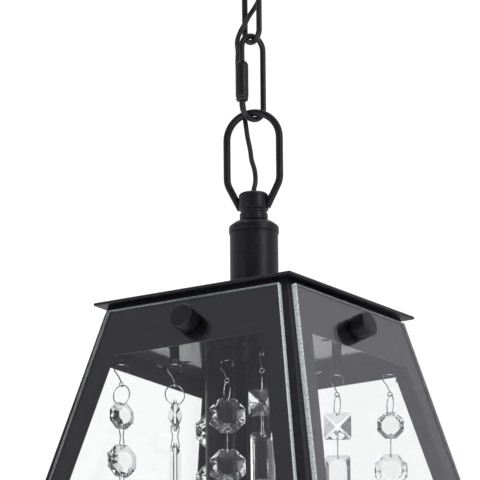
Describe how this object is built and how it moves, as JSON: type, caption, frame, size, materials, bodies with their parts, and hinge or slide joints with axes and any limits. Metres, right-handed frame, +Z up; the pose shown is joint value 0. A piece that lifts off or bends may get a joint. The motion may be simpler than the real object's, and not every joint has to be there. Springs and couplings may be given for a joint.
{
  "type": "hanging lantern",
  "caption": "Square tapered glass hanging lantern on a chain, with a flat roof plate, pane knobs, hanging cut-crystal strands and candle lamps.",
  "frame": {"origin": "middle of the crossbar's ceiling face, between its two screw slots, where the ceiling holds the light", "axes": "+Z up out of the ceiling; +X along the crossbar and square to one glass face; the shade's faces look along +X, +Y, -X and -Y"},
  "size_m": [0.3022, 0.3022, 0.6298],
  "materials": {
    "black_satin": "satin near-black powder coat",
    "black_gloss": "high-gloss black enamel",
    "zinc_steel": "plain zinc-plated steel",
    "pane_glass": "clear float glass with ground edges",
    "crystal": "clear cut crystal",
    "chrome_wire": "bright chrome wire",
    "bulb_glass": "clear candle bulb with a nickel screw base",
    "socket_body": "moulded phenolic lampholder",
    "cord_jacket": "black flexible cord jacket"
  },
  "bodies": {
    "ceiling": {"crossbar": "zinc_steel", "ceiling_nipple": "zinc_steel", "nipple_nuts": "zinc_steel", "canopy": "black_satin", "canopy_loop": "black_satin", "collar_ring": "black_satin"},
    "upper_link": {"chain_link_upper": "black_satin"},
    "lower_link": {"chain_link_lower": "black_satin"},
    "quick_link": {"quick_link": "black_satin"},
    "link_nut": {"quick_link_nut": "black_satin"},
    "loop": {"top_loop": "black_satin"},
    "lantern": {"loop_hub": "black_satin", "stem_cap": "black_satin", "stem_tube": "black_satin", "stem_nipple": "zinc_steel", "stem_nuts": "zinc_steel", "roof_plate": "black_satin", "frame_shell": "black_satin", "ceiling_pan": "black_gloss", "hanger_tabs": "black_satin", "lamp_sleeves": "black_satin", "lamp_sockets": "socket_body", "pane_studs": "zinc_steel", "pane_right": "pane_glass", "pane_back": "pane_glass", "pane_left": "pane_glass", "pane_front": "pane_glass", "supply_cord": "cord_jacket"},
    "lamp_1": {"bulb_1": "bulb_glass"},
    "lamp_2": {"bulb_2": "bulb_glass"},
    "lamp_3": {"bulb_3": "bulb_glass"},
    "lamp_4": {"bulb_4": "bulb_glass"},
    "right_knob": {"knob_right": "black_satin"},
    "back_knob": {"knob_back": "black_satin"},
    "left_knob": {"knob_left": "black_satin"},
    "front_knob": {"knob_front": "black_satin"},
    "strand_1": {"wires_1": "chrome_wire", "crystals_1": "crystal"},
    "strand_2": {"wires_2": "chrome_wire", "crystals_2": "crystal"},
    "strand_3": {"wires_3": "chrome_wire", "crystals_3": "crystal"},
    "strand_4": {"wires_4": "chrome_wire", "crystals_4": "crystal"},
    "strand_5": {"wires_5": "chrome_wire", "crystals_5": "crystal"},
    "strand_6": {"wires_6": "chrome_wire", "crystals_6": "crystal"},
    "strand_7": {"wires_7": "chrome_wire", "crystals_7": "crystal"},
    "strand_8": {"wires_8": "chrome_wire", "crystals_8": "crystal"},
    "strand_9": {"wires_9": "chrome_wire", "crystals_9": "crystal"},
    "strand_10": {"wires_10": "chrome_wire", "crystals_10": "crystal"},
    "strand_11": {"wires_11": "chrome_wire", "crystals_11": "crystal"},
    "strand_12": {"wires_12": "chrome_wire", "crystals_12": "crystal"}
  },
  "joints": [
    {"name": "upper_link_swing", "type": "hinge", "parent": "ceiling", "child": "upper_link", "pos_m": [0, 0, -0.0535], "axis": [0.9455, -0.3256, 0], "range_deg": [-25, 25], "deforming": ["supply_cord"]},
    {"name": "lower_link_swing", "type": "hinge", "parent": "upper_link", "child": "lower_link", "pos_m": [0, 0, -0.10095], "axis": [0.3256, 0.9455, 0], "range_deg": [-25, 25], "deforming": ["supply_cord"]},
    {"name": "quick_link_swing", "type": "hinge", "parent": "lower_link", "child": "quick_link", "pos_m": [0, 0, -0.14865], "axis": [0.9455, -0.3256, 0], "range_deg": [-25, 25], "deforming": ["supply_cord"]},
    {"name": "loop_swing", "type": "hinge", "parent": "quick_link", "child": "loop", "pos_m": [0, 0, -0.20435], "axis": [0.3256, 0.9455, 0], "range_deg": [-25, 25], "deforming": ["supply_cord"]},
    {"name": "lantern_swing", "type": "hinge", "parent": "loop", "child": "lantern", "pos_m": [0, 0, -0.26605], "axis": [0.9613, 0.2756, 0], "range_deg": [-25, 25], "deforming": ["supply_cord"]},
    {"name": "link_nut_slide", "type": "slide", "parent": "quick_link", "child": "link_nut", "axis": [0, 0, 1], "range_m": [0, 0.0095]},
    {"name": "right_knob_turn", "type": "hinge", "parent": "lantern", "child": "right_knob", "pos_m": [0.08846, 0, -0.36413], "axis": [0.9696, 0, 0.2448], "continuous": true},
    {"name": "back_knob_turn", "type": "hinge", "parent": "lantern", "child": "back_knob", "pos_m": [0, 0.08846, -0.36413], "axis": [0, 0.9696, 0.2448], "continuous": true},
    {"name": "left_knob_turn", "type": "hinge", "parent": "lantern", "child": "left_knob", "pos_m": [-0.08846, 0, -0.36413], "axis": [-0.9696, 0, 0.2448], "continuous": true},
    {"name": "front_knob_turn", "type": "hinge", "parent": "lantern", "child": "front_knob", "pos_m": [0, -0.08846, -0.36413], "axis": [0, -0.9696, 0.2448], "continuous": true},
    {"name": "bulb_1_turn", "type": "hinge", "parent": "lantern", "child": "lamp_1", "pos_m": [0.017, 0.017, -0.46855], "axis": [0, 0, 1], "continuous": true},
    {"name": "bulb_2_turn", "type": "hinge", "parent": "lantern", "child": "lamp_2", "pos_m": [-0.017, 0.017, -0.46855], "axis": [0, 0, 1], "continuous": true},
    {"name": "bulb_3_turn", "type": "hinge", "parent": "lantern", "child": "lamp_3", "pos_m": [-0.017, -0.017, -0.46855], "axis": [0, 0, 1], "continuous": true},
    {"name": "bulb_4_turn", "type": "hinge", "parent": "lantern", "child": "lamp_4", "pos_m": [0.017, -0.017, -0.46855], "axis": [0, 0, 1], "continuous": true},
    {"name": "strand_1_swing", "type": "hinge", "parent": "lantern", "child": "strand_1", "pos_m": [-0.066, -0.065, -0.38355], "axis": [0.7071, 0.7071, 0], "range_deg": [-12, 12]},
    {"name": "strand_2_swing", "type": "hinge", "parent": "lantern", "child": "strand_2", "pos_m": [0.066, -0.065, -0.38355], "axis": [0.7071, -0.7071, 0], "range_deg": [-12, 12]},
    {"name": "strand_3_swing", "type": "hinge", "parent": "lantern", "child": "strand_3", "pos_m": [0.066, 0.065, -0.38355], "axis": [0.7071, 0.7071, 0], "range_deg": [-12, 12]},
    {"name": "strand_4_swing", "type": "hinge", "parent": "lantern", "child": "strand_4", "pos_m": [-0.066, 0.065, -0.38355], "axis": [0.7071, -0.7071, 0], "range_deg": [-12, 12]},
    {"name": "strand_5_swing", "type": "hinge", "parent": "lantern", "child": "strand_5", "pos_m": [-0.0355, -0.045, -0.38355], "axis": [0.7071, 0.7071, 0], "range_deg": [-10, 10]},
    {"name": "strand_6_swing", "type": "hinge", "parent": "lantern", "child": "strand_6", "pos_m": [0.0355, -0.045, -0.38355], "axis": [0.7071, -0.7071, 0], "range_deg": [-10, 10]},
    {"name": "strand_7_swing", "type": "hinge", "parent": "lantern", "child": "strand_7", "pos_m": [0.0355, 0.045, -0.38355], "axis": [0.7071, 0.7071, 0], "range_deg": [-10, 10]},
    {"name": "strand_8_swing", "type": "hinge", "parent": "lantern", "child": "strand_8", "pos_m": [-0.0355, 0.045, -0.38355], "axis": [0.7071, -0.7071, 0], "range_deg": [-10, 10]},
    {"name": "strand_9_swing", "type": "hinge", "parent": "lantern", "child": "strand_9", "pos_m": [0, -0.034, -0.38355], "axis": [1, 0, 0], "range_deg": [-12, 0]},
    {"name": "strand_10_swing", "type": "hinge", "parent": "lantern", "child": "strand_10", "pos_m": [0.034, 0, -0.38355], "axis": [0, 1, 0], "range_deg": [-12, 0]},
    {"name": "strand_11_swing", "type": "hinge", "parent": "lantern", "child": "strand_11", "pos_m": [0, 0.034, -0.38355], "axis": [1, 0, 0], "range_deg": [0, 12]},
    {"name": "strand_12_swing", "type": "hinge", "parent": "lantern", "child": "strand_12", "pos_m": [-0.034, 0, -0.38355], "axis": [0, 1, 0], "range_deg": [0, 12]}
  ]
}
